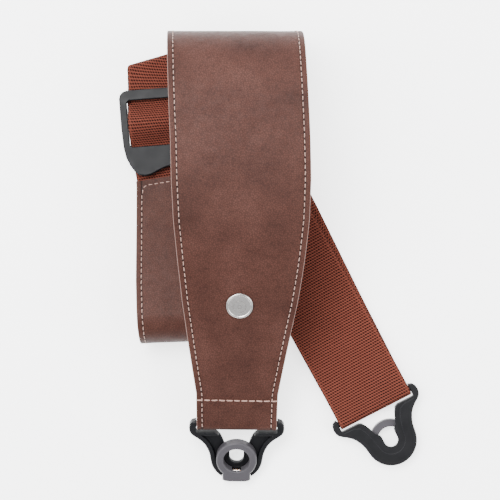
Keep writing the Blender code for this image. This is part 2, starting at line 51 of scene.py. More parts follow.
GAP = 0.3  # clearance between neighbouring pieces

# Leather band
BAR_R = 2.0  # clip crossbars
CLIP_1_BAR = Vector((-20.6003, -103.4577, 17.9943))
CLIP_1_TURN = -0.6
FRONT_SLOPE = 23.5
TAIL_SLOPE = 17.1  # the third run falls toward its tail
TOP_SKEW = -2.7  # slant of the fold lines of the big loop and of the lower fold
LOW_SKEW = -7.4
WALL_R = 115.36  # the big loop's steep side
FLAP = 24.0  # length folded round clip 1's crossbar
FLAP_CONVERGES = 6.5
BAND_END_HALF = 25.0
BAND_HALF = 41.25
BAND_TAPER = ((0, 25.0), (27, 25.3), (63, 30.7), (90, 34.8), (116, 37.9), (141, 40.3), (165, 41.25))
TAIL_IN_TAPER = 25.0  # the tail end is this far into the taper
FACE = (0.3, 1.7)  # each layer, from and to, measured outward from the band's middle surface
CORE = (-0.5, 0.3)
BACKING = (-1.7, -0.5)
CORE_INSET = 0.35
INNER_STARTS = 16.0  # backing and core start this far past the crossbar
INNER_STOPS = 23.0  # and stop this far short of the tail
FACE_MARGINS = ((0, 0.42), (0.14, 0.16), (0.42, 0.03), (0.8, 0), (1.8, 0), (2.7, 0), (3.1, 0),
                (3.5, 0), (3.9, 0), (4.4, 0), (5.4, 0))  # distance from the edge, rounding there
LINING_MARGINS = ((0, 0.3), (0.15, 0.08), (0.45, 0), (1.8, 0), (3.0, 0), (3.5, 0), (4.0, 0),
                  (5.2, 0))
CORE_MARGINS = ((0, 0), (1.0, 0))
RIVET_AT = 88.0  # along the band from the crossbar
RIVET_R = 8.2

# Webbing and slide adjuster
WEB_HALF = 25.0
WEB_THICK = 1.5
WEB_MARGINS = ((0, 0.5), (0.16, 0.22), (0.45, 0.05), (0.9, 0), (1.3, 0), (1.9, 0))
WEB_ROW = 1.72  # the weave's pitch along the webbing
WEB_DASH = 1.6
SLIDER_AT = Vector((-63.5003, 86.8423, 13.4943))
SLIDER_TURN = 4.5
SLIDER_BAR_R = 1.9
SLIDER_HALF_HIGH = 2.0
WEB_UNDER = -SLIDER_HALF_HIGH - GAP - WEB_THICK / 2  # webbing under the slider's bars
WEB_PITCH = 1.8  # from one layer's middle to the next
HUMP_HIGH = 4.75
HUMP_REACH = 14.8
HUMP_ASIDE = 0.6  # the webbing lies nearer the window's left edge
TAIL_SEWN = 22.0  # length of webbing sewn under the leather's tail
FRAME_BASE = 0.0943  # height that the shared frame adds to the CAD source's heights
RUN_LEVEL = 4.7  # middle of the lower diagonal layer in the CAD source's heights
RUN_STARTS = 11.0  # the lower layer's start, this far from the slider's centre bar
RUN_SQUARE = 11.5  # its first stretch, before its lines slant toward the fold
FOLD_TURN = -9.0  # how far the webbing turns in its plane between the slider and the fold
FOLD_SKEW = 20.8  # angle between the webbing's crosswise line and its fold
FOLD_AT = 39.7  # the fold's distance from the slider's centre bar
FOLD_JOINS = 27.0  # along the run, where the piece that stretches to the slider ends
RETURN_STOPS = 26.0  # the upper layer's end, this far from the slider's centre bar
RETURN_TURN = FOLD_TURN * (FOLD_AT - RETURN_STOPS) / (FOLD_AT - RUN_STARTS)
OUT_SWINGS = 1.405  # turns of the lower layer in its own plane on its way to clip 2
OUT_STRAIGHT = 3.194
OUT_RETURNS = 9.495
OUT_EASES = -1.0
BACK_EASES = 1.7  # and of the upper layer on its way back
BACK_SWINGS = 2.216
BACK_STRAIGHT = 20.104
BACK_RETURNS = 5.989
WRAP_TAIL = 11.0  # the sewn loop's end, this far from the slider's centre bar
WRAP_BEND = 250  # degrees round the bar
WRAP_DIPS = 7.0  # length over which the loop's end drops to its level

# Stitching
STITCH_IN = 3.5  # from the edge
STITCH_PITCH = 3.7
STITCH_LONG = 2.55
THREAD_R = 0.29
STITCH_SHAPE = ((-0.5, -0.34), (-0.38, 0.0), (-0.12, 0.13), (0.12, 0.13), (0.38, 0.0),
                (0.5, -0.34))  # part of the stitch's length, height there
CROSS_ROW_AT = 22.5  # the heavy row by clip 1
CROSS_LONG = 3.75
CROSS_PITCH = 4.6
CROSS_R = 0.5
TAIL_CORNER = 4.0  # radius of the row's corners at the tail
CHANNEL_DEEP = 0.28

Leg = namedtuple("Leg", "length bend skew skew_end veer")
Station = namedtuple("Station", "at along across out ruling skew run")


# ---------------------------------------------------------------- the routes of the CAD's strips

def leg(length, bend=0.0, skew=0.0, skew_end=None, veer=0.0):
    """A stretch of strap: its length, its bend, the slant of its fold lines and its turn."""
    return Leg(length, bend, skew, skew if skew_end is None else skew_end, veer)


def arc(radius, bend, skew=0.0):
    """A bend of that radius; a negative bend turns toward the outer face."""
    return leg(radius * math.radians(abs(bend)) / math.cos(math.radians(skew)), bend, skew)


def walk(at, heading, pitch, legs):
    """Follows the legs and returns the stations along the strap's middle line."""
    turn, rise = math.radians(heading), math.radians(pitch)
    across = Vector((math.cos(turn), math.sin(turn), 0))
    flat = Vector((-math.sin(turn), math.cos(turn), 0))
    along = flat * math.cos(rise) + Vector((0, 0, 1)) * math.sin(rise)
    at, run, found = Vector(at), 0.0, []
    for number, step in enumerate(legs):
        parts = max(1, math.ceil(abs(step.bend) / 11), math.ceil(abs(step.veer) / 1.5),
                    math.ceil(abs(step.skew_end - step.skew) / 2))
        for part in range(parts + 1):
            skew = math.radians(step.skew + (step.skew_end - step.skew) * part / parts)
            ruling = across * math.cos(skew) + along * math.sin(skew)
            if part or not number:
                found.append(Station(at.copy(), along.copy(), across.copy(), across.cross(along),
                                     ruling.copy(), skew, run))
            if part < parts:
                half = Matrix.Rotation(math.radians(-step.bend / parts / 2), 3, ruling)
                half = Matrix.Rotation(math.radians(step.veer / parts / 2), 3,
                                       across.cross(along)) @ half
                along, across = half @ along, half @ across
                at = at + along * (step.length / parts)
                run += step.length / parts
                along, across = half @ along, half @ across
    return found


def between(stations, run):
    """The station at a distance along the strap, on a smooth curve through the given ones."""
    low, high = 0, len(stations) - 1
    while high - low > 1:
        middle = (low + high) // 2
        if stations[middle].run <= run:
            low = middle
        else:
            high = middle
    a, b = stations[low], stations[high]
    span = b.run - a.run
    part = min(1.0, max(0.0, (run - a.run) / span))
    mixed = [(x.lerp(y, part)).normalized() for x, y in zip(a[1:5], b[1:5])]
    p2, p3 = part * part, part ** 3
    at = (a.at * (2 * p3 - 3 * p2 + 1) + a.along * (span * (p3 - 2 * p2 + part))
          + b.at * (3 * p2 - 2 * p3) + b.along * (span * (p3 - p2)))
    return Station(at, *mixed, a.skew + (b.skew - a.skew) * part, run)


def fine(stations, start, stop, step):
    """Stations no further apart than step, and close together where the strap bends sharply."""
    marks = [start] + [s.run for s in stations if start + 0.05 < s.run < stop - 0.05] + [stop]
    found = [between(stations, start)]
    for a, b in zip(marks, marks[1:]):
        one, two = between(stations, a), between(stations, b)
        turn = math.degrees(one.along.angle(two.along))
        count = max(1, math.ceil((b - a) / step), math.ceil(turn / 5))
        found += [between(stations, a + (b - a) * i / count) for i in range(1, count + 1)]
    return found


def moved(stations, shift):
    return [s._replace(at=s.at + shift) for s in stations]


def turned(heading):
    """The level direction that many degrees round from Y."""
    angle = math.radians(heading)
    return Vector((-math.sin(angle), math.cos(angle), 0))


def taper(distance):
    """The band's half width at a distance from its nearer end."""
    for (a, low), (b, high) in zip(BAND_TAPER, BAND_TAPER[1:]):
        if distance <= b:
            part = max(0.0, distance - a) / (b - a)
            return low + (high - low) * part
    return BAND_HALF


def leather_path():
    """The band's middle line, from its sewn-under flap to its tail."""
    bar_bend = 180 + FLAP_CONVERGES
    bar_radius = BAR_R + GAP
    legs = [
        leg(FLAP),
        arc(bar_radius, bar_bend),
        leg(86.0, veer=-1.7),
        leg(97.0, bend=FRONT_SLOPE, veer=3.9),
        leg(10.0, skew_end=TOP_SKEW, veer=1.0),
        arc(100.0, 25, TOP_SKEW),
        arc(28.0, 50, TOP_SKEW),
        arc(WALL_R, 20, TOP_SKEW),
        arc(5.0, 85, TOP_SKEW),
        leg(50.0, skew=TOP_SKEW, veer=2.459),
        leg(79.561, skew=TOP_SKEW, skew_end=LOW_SKEW),
        leg(40.0, skew=LOW_SKEW, veer=-0.096),
        arc(15.8, 180 + TAIL_SLOPE, LOW_SKEW),
        leg(40.0, skew=LOW_SKEW, skew_end=0),
        leg(27.0),
        leg(20.0, bend=2.0 - TAIL_SLOPE),
    ]
    found = walk((0, 0, 0), CLIP_1_TURN, FRONT_SLOPE + bar_bend, legs)
    start = next(s for s in found if abs(s.run - FLAP) < 1e-6)
    return moved(found, CLIP_1_BAR - (start.at - start.out * bar_radius))


def webbing_run_path():
    """Webbing from the slider's high bar, over the fold, down to clip 2, and back to the fold."""
    up = turned(SLIDER_TURN)
    start = SLIDER_AT + up * RUN_STARTS + Vector((0, 0, WEB_UNDER))
    outer = (SLIDER_AT.z - FRAME_BASE + WEB_UNDER - RUN_LEVEL) / 2
    inner = outer - WEB_PITCH
    bar = BAR_R + GAP + WEB_THICK / 2
    legs = [
        leg(RUN_SQUARE, veer=FOLD_TURN * RUN_SQUARE / (FOLD_AT - RUN_STARTS)),
        leg(FOLD_AT - RUN_STARTS - RUN_SQUARE, skew_end=FOLD_SKEW,
            veer=FOLD_TURN * (1 - RUN_SQUARE / (FOLD_AT - RUN_STARTS))),
        arc(outer, 180, FOLD_SKEW),
        leg(48.0, skew=FOLD_SKEW, skew_end=0, veer=OUT_SWINGS),
        leg(OUT_STRAIGHT),
        leg(80.0, veer=OUT_RETURNS),
        leg(45.0),
        leg(30.0, veer=OUT_EASES),
        leg(10.0, bend=-3.0),
        leg(22.0),
        leg(10.0, bend=3.0),
        leg(8.0),
        arc(bar, 184.5),
        leg(22.0, veer=BACK_EASES),
        leg(22.0, bend=-4.5),
        leg(82.0),
        leg(50.0, veer=BACK_SWINGS),
        leg(BACK_STRAIGHT),
        leg(60.0, skew_end=-FOLD_SKEW, veer=BACK_RETURNS),
        arc(inner, -180, -FOLD_SKEW),
        leg(FOLD_AT - RETURN_STOPS, skew=-FOLD_SKEW, skew_end=0, veer=RETURN_TURN),
    ]
    return walk(start, SLIDER_TURN, 0, legs)


def line_stations(points, first, last):
    """Stations along a line of points; the crosswise direction goes from first to last."""
    found, run = [], 0.0
    for i, p in enumerate(points):
        before, after = points[max(i - 1, 0)], points[min(i + 1, len(points) - 1)]
        along = (after - before).normalized()
        across = first.lerp(last, i / (len(points) - 1))
        side = (across - along * across.dot(along)).normalized()
        if i:
            run += (p - points[i - 1]).length
        found.append(Station(p, along, side, side.cross(along), side, 0.0, run))
    return found


# ---------------------------------------------------------------- meshes

def finish(name, mesh, *materials, sharp=40):
    """Turns a bmesh into a smooth-shaded object with those materials."""
    bmesh.ops.recalc_face_normals(mesh, faces=mesh.faces)
    data = bpy.data.meshes.new(name)
    mesh.to_mesh(data)
    mesh.free()
    data.shade_smooth()
    data.set_sharp_from_angle(angle=math.radians(sharp))
    made = bpy.data.objects.new(name, data)
    bpy.context.scene.collection.objects.link(made)
    for material in materials:
        data.materials.append(material)
    return made


def spot(s, side, level):
    """A point of a strip: that far to the side and that far out of the middle line, in metres."""
    return (s.at + s.ruling * (side / math.cos(s.skew)) + s.out * level) * MM


def edges(s, half):
    """The strip's left and right half widths at a station, along its slanted crosswise line."""
    lean = math.tan(s.skew)
    wide = half(s.run)
    return half(s.run - wide * lean), half(s.run + wide * lean)


def ribbon(name, stations, half, layer, margins, inside, relief, materials, edge_margin=0.0):
    """A closed strip. margins are (distance from the edge, drop of the surface) pairs, inside is
    the number of columns between them, and relief(run, side, from_edge, outer) moves a surface."""
    mesh = bmesh.new()
    uv = mesh.loops.layers.uv.new("lay")
    rim = mesh.verts.layers.float.new("from_edge")
    low, high = layer
    rings, where = [], {}
    for s in stations:
        lean = math.tan(s.skew)
        left, right = edges(s, half)
        sides = [(-left + m, m, d) for m, d in margins]
        inner_low, inner_high = -left + margins[-1][0], right - margins[-1][0]
        for i in range(1, inside):
            side = inner_low + (inner_high - inner_low) * i / inside
            sides.append((side, min(side + left, right - side), 0.0))
        sides += [(right - m, m, d) for m, d in reversed(margins)]
        rings.append([])
        for outer in (True, False):
            row = []
            for side, from_edge, drop in sides:
                shift = relief(s.run + side * lean, side, from_edge, outer)
                level = high - drop + shift if outer else low + drop - shift
                vert = mesh.verts.new(spot(s, side, level))
                vert[rim] = from_edge
                where[vert] = (side * MM, (s.run + side * lean) * MM)
                row.append((vert, from_edge))
            rings[-1].append(row)

    def face(corners, paint):
        made = mesh.faces.new([v for v, _ in corners])
        made.material_index = paint
        for loop in made.loops:
            loop[uv].uv = where[loop.vert]

    edge_paint = 1 if len(materials) > 1 else 0
    for a, b in zip(rings, rings[1:]):
        for one, two in zip(a, b):
            for i in range(len(one) - 1):
                is_edge = max(one[i][1], one[i + 1][1]) <= edge_margin
                face((one[i], one[i + 1], two[i + 1], two[i]), edge_paint if is_edge else 0)
        for i in (0, -1):
            face((a[0][i], b[0][i], b[1][i], a[1][i]), edge_paint)
    for ring in (rings[0], rings[-1]):
        for i in range(len(ring[0]) - 1):
            face((ring[0][i], ring[0][i + 1], ring[1][i + 1], ring[1][i]), edge_paint)
    return finish(name, mesh, *materials)


def thread(mesh, points, outs, radius, sides=6):
    """One stitch: a short thread along points, whose ends dip into the leather."""
    rings = []
    for i, p in enumerate(points):
        along = (points[min(i + 1, len(points) - 1)] - points[max(i - 1, 0)]).normalized()
        out = (outs[i] - along * outs[i].dot(along)).normalized()
        side = out.cross(along)
        at_end = i in (0, len(points) - 1)
        r = radius * MM * (0.55 if at_end else 1.0)
        rings.append([mesh.verts.new(p + (side * math.cos(a) + out * math.sin(a) * 0.85) * r)
                      for a in (2 * math.pi * k / sides for k in range(sides))])
    for a, b in zip(rings, rings[1:]):
        for i in range(sides):
            j = (i + 1) % sides
            mesh.faces.new((a[i], a[j], b[j], b[i]))
    mesh.faces.new(rings[0])
    mesh.faces.new(rings[-1])


def stitch_rows(name, rows, path, material, chance):
    """Stitches along rows; a row is a list of (distance, side) marks, its level, its outward sign,
    its stitch length and pitch, and its thread radius."""
    mesh = bmesh.new()
    for marks, level, sign, long, pitch, radius in rows:
        points = []
        for run, side in marks:
            s = between(path, run)
            points.append((spot(s, side, level), s.out * sign))
        lengths = [0.0]
        for (a, _), (b, _) in zip(points, points[1:]):
            lengths.append(lengths[-1] + (b - a).length / MM)

        def at(distance):
            distance = min(max(distance, 0.0), lengths[-1])
            i = max(0, min(len(lengths) - 2, sum(1 for d in lengths[1:-1] if d <= distance)))
            part = (distance - lengths[i]) / max(1e-9, lengths[i + 1] - lengths[i])
            (a, out_a), (b, out_b) = points[i], points[i + 1]
            return a.lerp(b, part), out_a.lerp(out_b, part).normalized()

        count = int(lengths[-1] / pitch)
        gap = lengths[-1] / count
        for n in range(count):
            middle = (n + 0.5) * gap
            span = long * chance.uniform(0.94, 1.05)
            swing = chance.uniform(-0.09, 0.09)
            spots, outs = [], []
            for part, rise in STITCH_SHAPE:
                p, out = at(middle + part * span)
                q, _ = at(middle + (part + 0.05) * span)
                side = (q - p).normalized().cross(out)
                spots.append(p + out * (rise * MM) + side * (part * span * swing * MM))
                outs.append(out)
            thread(mesh, spots, outs, radius)
    return finish(name, mesh, material, sharp=80)


def lathe(name, profile, sides, place, material):
    """A closed round piece from (radius, height) pairs that start and end on the axis."""
    mesh, rings = bmesh.new(), []
    for radius, height in profile:
        if radius == 0:
            rings.append([mesh.verts.new(place @ Vector((0, 0, height * MM)))])
            continue
        rings.append([mesh.verts.new(place @ Vector((radius * MM * math.cos(a),
                                                     radius * MM * math.sin(a), height * MM)))
                      for a in (2 * math.pi * k / sides for k in range(sides))])
    for a, b in zip(rings, rings[1:]):
        for i in range(sides):
            j = (i + 1) % sides
            corners = [a[i % len(a)], a[j % len(a)], b[j % len(b)], b[i % len(b)]]
            mesh.faces.new(list(dict.fromkeys(corners)))
    return finish(name, mesh, material, sharp=35)


# ---------------------------------------------------------------- materials

class Paint:
    """A material's node tree, with short ways to add and join nodes."""

    def __init__(self, name, rough=0.5, metal=0.0, specular=0.5):
        self.material = bpy.data.materials.new(name)
        self.material.use_nodes = True
        self.tree = self.material.node_tree
        self.shader = self.tree.nodes["Principled BSDF"]
        self.shader.inputs["Roughness"].default_value = rough
        self.shader.inputs["Metallic"].default_value = metal
        self.shader.inputs["Specular IOR Level"].default_value = specular

    def node(self, kind, joins=(), **settings):
        made = self.tree.nodes.new("ShaderNode" + kind)
        for key, value in settings.items():
            setattr(made, key, value)
        for socket, value in dict(joins).items():
            if isinstance(value, bpy.types.NodeSocket):
                self.tree.links.new(value, made.inputs[socket])
            else:
                made.inputs[socket].default_value = value
        return made

    def math(self, how, a, b=0.0):
        return self.node("Math", {0: a, 1: b}, operation=how).outputs[0]

    def place(self):
        return self.node("TexCoord").outputs["Object"]

    def noise(self, scale, detail=3.0, vector=None, rough=0.5):
        return self.node("TexNoise", {"Vector": vector or self.place(), "Scale": scale,
                                      "Detail": detail, "Roughness": rough}).outputs["Fac"]

    def ramp(self, value, *stops):
        made = self.node("ValToRGB", {0: value})
        ramp = made.color_ramp
        while len(ramp.elements) < len(stops):
            ramp.elements.new(0.5)
        for element, (at, shade) in zip(ramp.elements, stops):
            element.position = at
            element.color = (*shade, 1) if isinstance(shade, tuple) else (shade, shade, shade, 1)
        return made.outputs["Color"]

    def mix(self, how, amount, a, b):
        made = self.node("Mix", data_type="RGBA", blend_type=how)
        for socket, value in ((made.inputs[0], amount), (made.inputs[6], a), (made.inputs[7], b)):
            if isinstance(value, bpy.types.NodeSocket):
                self.tree.links.new(value, socket)
            else:
                socket.default_value = (*value, 1) if isinstance(value, tuple) else value
        return made.outputs[2]

    def bump(self, height, distance, strength=1.0, under=None):
        joins = {"Height": height, "Distance": distance * MM, "Strength": strength}
        if under:
            joins["Normal"] = under
        return self.node("Bump", joins).outputs["Normal"]

    def done(self, colour=None, normal=None, rough=None):
        for socket, value in (("Base Color", colour), ("Normal", normal), ("Roughness", rough)):
            if isinstance(value, bpy.types.NodeSocket):
                self.tree.links.new(value, self.shader.inputs[socket])
            elif value is not None:
                self.shader.inputs[socket].default_value = (*value, 1)
        return self.material


def leather_paint(name, dark, middle, pale, grain_size=1.0):
    """Grained leather: pebbles with creases between them, slow changes of tone, and painted shade
    in a dark line along the stitch channel, where the stitching runs."""
    p = Paint(name, rough=0.5, specular=0.11)
    pebbles = p.node("TexVoronoi", {"Vector": p.place(), "Scale": 820 / grain_size,
                                    "Randomness": 1.0}, feature="DISTANCE_TO_EDGE").outputs[0]
    crease = p.ramp(pebbles, (0.0, 0.0), (0.2, 1.0))
    fine_grain = p.noise(2600 / grain_size, 3)
    cloud = p.noise(30, 5, rough=0.65)
    colour = p.ramp(cloud, (0.3, dark), (0.52, middle), (0.76, pale))
    colour = p.mix("MULTIPLY", 0.3, colour, p.ramp(p.noise(9, 2), (0.35, 0.72), (0.65, 1.0)))
    colour = p.mix("MULTIPLY", 0.45, colour, crease)
    edge = p.node("Attribute", attribute_name="from_edge").outputs["Fac"]
    # painted shade: the colour is darkened in a line along the stitch channel, darkest on the
    # stitch line
    off = p.math("ABSOLUTE", p.math("SUBTRACT", edge, STITCH_IN))
    colour = p.mix("MULTIPLY", 0.8, colour, p.ramp(off, (0.15, 0.0), (0.8, 1.0)))
    wrinkle = p.node("TexNoise", {"Vector": p.place(), "Scale": 120.0, "Detail": 5.0,
                                  "Distortion": 0.8}).outputs["Fac"]
    normal = p.bump(crease, 0.06, 0.6)
    normal = p.bump(fine_grain, 0.04, 0.5, normal)
    normal = p.bump(wrinkle, 0.3, 0.5, normal)
    rough = p.ramp(p.noise(300, 3), (0.3, 0.48), (0.7, 0.62))
    return p.done(colour, normal, rough)


def fibre_paint(name, dark, pale, scale=900, deep=0.12):
    """Suede, felt or a raw cut edge."""
    p = Paint(name, rough=0.92, specular=0.15)
    p.shader.inputs["Sheen Weight"].default_value = 0.25
    p.shader.inputs["Sheen Roughness"].default_value = 0.6
    nap = p.noise(scale, 4, rough=0.7)
    colour = p.ramp(nap, (0.32, dark), (0.68, pale))
    colour = p.mix("MULTIPLY", 0.3, colour, p.ramp(p.noise(40, 3), (0.3, 0.7), (0.7, 1.0)))
    return p.done(colour, p.bump(nap, deep, 0.6))


def webbing_paint(name, dark, middle, pale):
    """Ribbed webbing: rows across its width with slanted gaps between them in brick order, a
    corded line near each selvedge and a darker edge."""
    p = Paint(name, rough=0.85, specular=0.08)
    lay = p.node("SeparateXYZ", {0: p.node("UVMap", uv_map="lay").outputs[0]})
    across, along = lay.outputs[0], lay.outputs[1]
    sway = p.math("MULTIPLY", p.math("SUBTRACT", p.noise(60, 2), 0.5), 0.5)
    rib_at = p.math("ADD", p.math("DIVIDE", along, WEB_ROW * MM), sway)
    rib = p.math("COSINE", p.math("MULTIPLY", rib_at, 2 * math.pi))
    row = p.math("FLOOR", rib_at)
    dash_at = p.math("ADD", p.math("DIVIDE", across, WEB_DASH * MM), p.math("MULTIPLY", row, 0.5))
    dash_at = p.math("ADD", dash_at, p.math("MULTIPLY", p.math("SUBTRACT", rib_at, row), 0.55))
    dash = p.math("COSINE", p.math("MULTIPLY", dash_at, 2 * math.pi))
    valley = p.math("MULTIPLY", p.math("SUBTRACT", 1.0, rib), 0.5)
    gap = p.math("MULTIPLY", valley, p.math("MULTIPLY", p.math("SUBTRACT", 1.1, dash), 0.58))
    weave = p.math("SUBTRACT", 1.0, p.math("MULTIPLY", gap, 0.9))
    weave = p.math("SUBTRACT", weave, p.math("MULTIPLY", valley, 0.1))
    yarn = p.noise(1500, 3, rough=0.65)
    colour = p.ramp(weave, (0.25, dark), (0.62, middle), (0.98, pale))
    colour = p.mix("MULTIPLY", 0.4, colour, p.ramp(yarn, (0.3, 0.6), (0.7, 1.0)))
    colour = p.mix("MULTIPLY", 0.35, colour, p.ramp(p.noise(45, 3), (0.3, 0.7), (0.7, 1.0)))
    edge = p.node("Attribute", attribute_name="from_edge").outputs["Fac"]
    colour = p.mix("MULTIPLY", 0.55, colour, p.ramp(edge, (0.15, 0.25), (0.55, 1.0)))
    cord = p.math("ABSOLUTE", p.math("SUBTRACT", edge, 1.3))
    colour = p.mix("MIX", p.ramp(cord, (0.2, 0.55), (0.6, 0.0)), colour, pale)
    normal = p.bump(weave, 0.4, 0.9)
    return p.done(colour, p.bump(yarn, 0.08, 0.5, normal))


def plastic_paint(name, base, edge, rough=0.42):
    """Moulded plastic: a fine spark-eroded skin, and a painted highlight that makes its edges a
    little paler.
    """
    p = Paint(name, rough=rough, specular=0.16)
    skin = p.noise(2200, 3)
    rounded = p.node("Bevel", {"Radius": 0.5 * MM}, samples=6).outputs[0]
    plain = p.node("NewGeometry").outputs["Normal"]
    turn = p.node("VectorMath", {0: rounded, 1: plain}, operation="DOT_PRODUCT").outputs["Value"]
    # painted highlight: edges, found where the bevelled normal turns from the plain one, are mixed
    # toward the paler edge colour
    edge_highlight = p.ramp(turn, (0.82, 1.0), (0.99, 0.0))
    edge_highlight = p.math("MULTIPLY", edge_highlight, p.noise(260, 3))
    colour = p.mix("MIX", edge_highlight, p.mix("MULTIPLY", 0.25, base, p.ramp(p.noise(70, 4), (0.3, 0.6),
                                                                       (0.7, 1.0))), edge)
    return p.done(colour, p.bump(skin, 0.03, 0.35, rounded),
                  p.ramp(p.noise(160, 4), (0.3, rough - 0.06), (0.7, rough + 0.08)))


def metal_paint(name, base, rough, scale=500):
    """Plated or drawn metal with fine scratches."""
    p = Paint(name, rough=rough, metal=1.0)
    stretch = p.node("Mapping", {"Vector": p.place(), "Scale": (1.0, 14.0, 1.0)}).outputs[0]
    lines = p.noise(scale, 4, stretch)
    colour = p.mix("MULTIPLY", 0.3, base, p.ramp(lines, (0.3, 0.7), (0.7, 1.0)))
    return p.done(colour, p.bump(lines, 0.02, 0.4),
                  p.ramp(p.noise(220, 3), (0.3, rough - 0.06), (0.7, rough + 0.1)))


def floor_paint():
    p = Paint("studio_floor", rough=0.9, specular=0.1)
    p.shader.inputs["Emission Color"].default_value = (1, 1, 1, 1)
    p.shader.inputs["Emission Strength"].default_value = 2.0
    colour = p.ramp(p.noise(6, 3), (0.3, 0.92), (0.7, 0.95))
    return p.done(colour)


# ---------------------------------------------------------------- the leather band

def band_half_at(bar_middle, total):
    def at(run):
        if run < bar_middle:
            return BAND_END_HALF - 0.4 * min(1.0, (bar_middle - run) / 10)
        return min(taper(run - bar_middle), taper(total - run + TAIL_IN_TAPER))
    return at


def sheet_area(half, start, stop):
    """Flat area in square metres between two distances along a strip."""
    steps = 200
    gap = (stop - start) / steps
    return sum(2 * half(start + (i + 0.5) * gap) * gap for i in range(steps)) * MM * MM


def face_relief(run, side, from_edge, outer):
    """The outer leather's surface: stitch channels with puckers, and a slow unevenness."""
    if not outer:
        return 0.0
    pucker = 0.72 + 0.28 * math.cos(2 * math.pi * run / STITCH_PITCH)
    channel = -CHANNEL_DEEP * pucker * math.exp(-((from_edge - STITCH_IN) / 0.55) ** 2)
    uneven = noise.noise(Vector((run / 23, side / 19, 0.0))) - 0.6
    return channel + 0.16 * uneven * min(1.0, from_edge / 6)


def backing_relief(run, side, from_edge, outer):
    if outer:
        return 0.0
    return -0.12 * math.exp(-((from_edge - STITCH_IN) / 0.5) ** 2)


def flat_relief(run, side, from_edge, outer):
    return 0.0


def make_leather():
    path = leather_path()
    total = path[-1].run
    bar_middle = FLAP + (BAR_R + GAP) * math.radians(180 + FLAP_CONVERGES) / 2
    half = band_half_at(bar_middle, total)
    inner_start = bar_middle + INNER_STARTS
    inner_stop = total - INNER_STOPS
    brown = leather_paint("brown_grained_leather", (0.032, 0.0110, 0.0075),
                          (0.050, 0.0185, 0.0130), (0.068, 0.0275, 0.0205))
    cut = fibre_paint("leather_cut_edge", (0.07, 0.028, 0.020), (0.15, 0.072, 0.053), 700, 0.06)
    suede = fibre_paint("brown_suede_lining", (0.045, 0.018, 0.012), (0.085, 0.038, 0.027))
    felt = fibre_paint("cream_core", (0.20, 0.10, 0.075), (0.38, 0.22, 0.17), 800, 0.08)
    face = ribbon("leather_band", fine(path, 0, total, 1.0), half, FACE, FACE_MARGINS, 14,
                  face_relief, (brown, cut), 0.43)
    core = ribbon("leather_core_layer", fine(path, inner_start, inner_stop, 3.0),
                  lambda run: half(run) - CORE_INSET, CORE, CORE_MARGINS, 6, flat_relief, (felt,))
    lining = ribbon("leather_lining", fine(path, inner_start, inner_stop, 2.0), half, BACKING,
                    LINING_MARGINS, 10, backing_relief, (suede, cut), 0.2)
    for made, node, slot_name, start, stop in (
            (face, "leather_face", "brown_leather", 0, total),
            (core, "leather_core", "core_felt", inner_start, inner_stop),
            (lining, "leather_backing", "brown_suede", inner_start, inner_stop)):
        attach(made, "strap")
        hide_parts(node)
        sheet_area(half, start, stop)
    make_stitches(path, half, bar_middle, total)
    make_rivet(between(path, bar_middle + RIVET_AT))
    return path


def make_stitches(path, half, bar_middle, total):
    """Edge rows on both faces, the row across the tail, and the heavy row by clip 1."""
    cream = fibre_paint("stitching_thread", (0.20, 0.105, 0.08), (0.36, 0.22, 0.175), 1400, 0.05)
    first, last = bar_middle + 3.0, total - STITCH_IN

    def marks(sign, start, stop):
        steps = int((stop - start) / 2)
        runs = [start + (stop - start) * i / steps for i in range(steps + 1)]
        return [(run, sign * (half(run) - STITCH_IN)) for run in runs]

    def tail_row():
        wide = half(last) - STITCH_IN
        left, right = [], []
        for i in range(7):
            a = math.radians(90 * i / 6)
            out = TAIL_CORNER * (1 - math.cos(a))
            back = TAIL_CORNER * (1 - math.sin(a))
            left.append((last - back, -wide + out))
            right.append((last - back, wide - out))
        side_stops = last - TAIL_CORNER
        return (marks(-1, first, side_stops)[:-1] + left + right[::-1]
                + marks(1, first, side_stops)[::-1][1:])

    top = FACE[1] - CHANNEL_DEEP + 0.16
    rows = [(slanted(path, tail_row()), top, 1, STITCH_LONG, STITCH_PITCH, THREAD_R)]
    under = BACKING[0] + 0.12 - 0.14
    stop = total - INNER_STOPS - 1.0
    for sign in (-1, 1):
        rows.append((slanted(path, marks(sign, bar_middle + INNER_STARTS + 1.0, stop)), under, -1,
                     STITCH_LONG, STITCH_PITCH, THREAD_R))
    cross = bar_middle + CROSS_ROW_AT
    wide = half(cross) + 0.2
    rows.append(([(cross, -wide + 2 * wide * i / 10) for i in range(11)], FACE[1] - 0.02, 1,
                 CROSS_LONG, CROSS_PITCH, CROSS_R))
    made = stitch_rows("edge_stitching", rows, path, cream, random.Random(4))
    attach(made, "strap")


def slanted(path, marks):
    """Marks moved along the path so that, on the slanted crosswise lines, they are where meant."""
    found = []
    for run, side in marks:
        skew = between(path, run).skew
        found.append((run - side * math.tan(skew), side))
    return found


